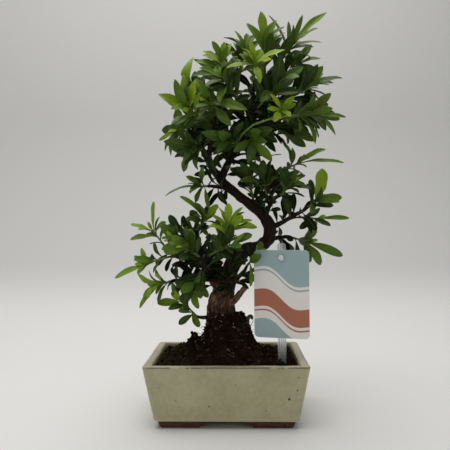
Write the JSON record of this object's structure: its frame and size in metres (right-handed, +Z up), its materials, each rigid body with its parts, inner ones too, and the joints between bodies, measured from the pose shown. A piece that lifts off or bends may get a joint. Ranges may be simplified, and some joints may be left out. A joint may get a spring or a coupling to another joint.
{
  "type": "potted bonsai tree",
  "caption": "Miniature evergreen tree with an S-curved trunk and glossy lance-shaped leaves, rooted in heaped soil in a footed rectangular glazed pot, with a plant card on a clear stake.",
  "frame": {"origin": "on the surface under the feet, below the middle of the whole outline", "axes": "+Z up along the tree, +X to the right of the pot's long front side, -Y towards its viewer"},
  "size_m": [0.24, 0.145, 0.412],
  "materials": {
    "celadon_glaze": "glossy",
    "potting_soil": "matte",
    "bark": "matte",
    "leaf_green": "satin",
    "young_leaf": "satin",
    "card_print": "satin",
    "clear_plastic": "glossy"
  },
  "bodies": {
    "root": {"pot": "celadon_glaze", "soil": "potting_soil", "wood": "bark", "tag_card": "card_print", "tag_stake": "clear_plastic", "spray_apex_right": "leaf_green", "spray_apex_middle": "leaf_green", "spray_apex_left": "leaf_green", "spray_notch_left": "young_leaf", "spray_star_high": "young_leaf", "spray_arch_left": "leaf_green", "spray_crest_left": "leaf_green", "spray_left_high": "leaf_green", "spray_left_low": "leaf_green", "spray_left_hang": "leaf_green", "spray_right_high": "leaf_green", "spray_right_shoulder": "leaf_green", "spray_right_low": "leaf_green", "spray_star_low": "young_leaf", "spray_reach_right": "leaf_green", "spray_under_right": "leaf_green", "spray_under_middle": "leaf_green", "spray_front_high": "leaf_green", "spray_front_middle": "leaf_green", "spray_front_low": "leaf_green", "spray_front_left": "leaf_green", "spray_front_right": "leaf_green", "spray_back_high": "leaf_green", "spray_back_left": "leaf_green", "spray_back_right": "leaf_green", "spray_back_low": "leaf_green", "spray_back_under": "leaf_green", "spray_back_crest": "leaf_green", "spray_back_side": "leaf_green", "spray_heart": "leaf_green", "spray_under_left": "leaf_green", "spray_under_front": "leaf_green", "spray_mid_top": "leaf_green", "spray_mid_crest": "leaf_green", "spray_mid_heart": "leaf_green", "spray_mid_right": "leaf_green", "spray_mid_reach": "leaf_green", "spray_mid_low": "leaf_green", "spray_mid_fill": "leaf_green", "spray_mid_back": "leaf_green", "spray_side_left": "leaf_green", "spray_low_crest": "leaf_green", "spray_low_bright": "young_leaf", "spray_low_right": "leaf_green", "spray_far_tip": "young_leaf", "spray_far_top": "leaf_green", "spray_far_left": "young_leaf", "spray_outer_left": "leaf_green", "spray_front_low_left": "leaf_green", "spray_front_low_mid": "leaf_green", "spray_front_low_under": "leaf_green", "spray_low_inner": "leaf_green", "spray_back_low_left": "leaf_green", "spray_back_low_mid": "leaf_green", "spray_root_shoot": "young_leaf"}
  },
  "joints": []
}
